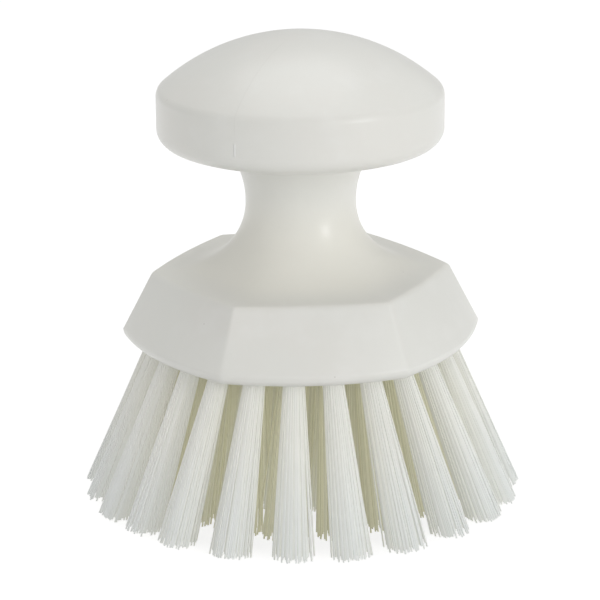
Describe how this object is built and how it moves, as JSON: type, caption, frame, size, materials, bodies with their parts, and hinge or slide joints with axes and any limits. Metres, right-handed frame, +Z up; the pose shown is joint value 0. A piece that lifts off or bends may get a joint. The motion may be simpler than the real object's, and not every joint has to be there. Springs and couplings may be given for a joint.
{
  "type": "vegetable brush",
  "caption": "Round vegetable scrubbing brush with a domed palm knob, a finger waist, a six-sided head and flared tufts of stiff filament on its underside.",
  "frame": {"origin": "on the brush's axis, at the level of the filament tips that it stands on", "axes": "+Z up along the brush's axis to the knob's dome; -Y is square to one side of the six-sided head"},
  "size_m": [0.1367, 0.137, 0.1434],
  "materials": {
    "white_plastic": "satin moulded",
    "filament": "drawn, slightly translucent",
    "anchor_wire": "flat wire"
  },
  "bodies": {
    "root": {"brush_block": "white_plastic", "outer_tuft_01": "filament", "outer_tuft_02": "filament", "outer_tuft_03": "filament", "outer_tuft_04": "filament", "outer_tuft_05": "filament", "outer_tuft_06": "filament", "outer_tuft_07": "filament", "outer_tuft_08": "filament", "outer_tuft_09": "filament", "outer_tuft_10": "filament", "outer_tuft_11": "filament", "outer_tuft_12": "filament", "outer_tuft_13": "filament", "outer_tuft_14": "filament", "outer_tuft_15": "filament", "outer_tuft_16": "filament", "outer_tuft_17": "filament", "outer_tuft_18": "filament", "outer_tuft_19": "filament", "outer_tuft_20": "filament", "outer_tuft_21": "filament", "outer_tuft_22": "filament", "outer_tuft_23": "filament", "outer_tuft_24": "filament", "middle_tuft_01": "filament", "middle_tuft_02": "filament", "middle_tuft_03": "filament", "middle_tuft_04": "filament", "middle_tuft_05": "filament", "middle_tuft_06": "filament", "middle_tuft_07": "filament", "middle_tuft_08": "filament", "middle_tuft_09": "filament", "middle_tuft_10": "filament", "middle_tuft_11": "filament", "middle_tuft_12": "filament", "middle_tuft_13": "filament", "middle_tuft_14": "filament", "middle_tuft_15": "filament", "middle_tuft_16": "filament", "middle_tuft_17": "filament", "middle_tuft_18": "filament", "inner_tuft_01": "filament", "inner_tuft_02": "filament", "inner_tuft_03": "filament", "inner_tuft_04": "filament", "inner_tuft_05": "filament", "inner_tuft_06": "filament", "inner_tuft_07": "filament", "inner_tuft_08": "filament", "inner_tuft_09": "filament", "inner_tuft_10": "filament", "inner_tuft_11": "filament", "inner_tuft_12": "filament", "core_tufts": "filament", "outer_wires": "anchor_wire", "middle_wires": "anchor_wire", "inner_wires": "anchor_wire", "core_wires": "anchor_wire"}
  },
  "joints": []
}
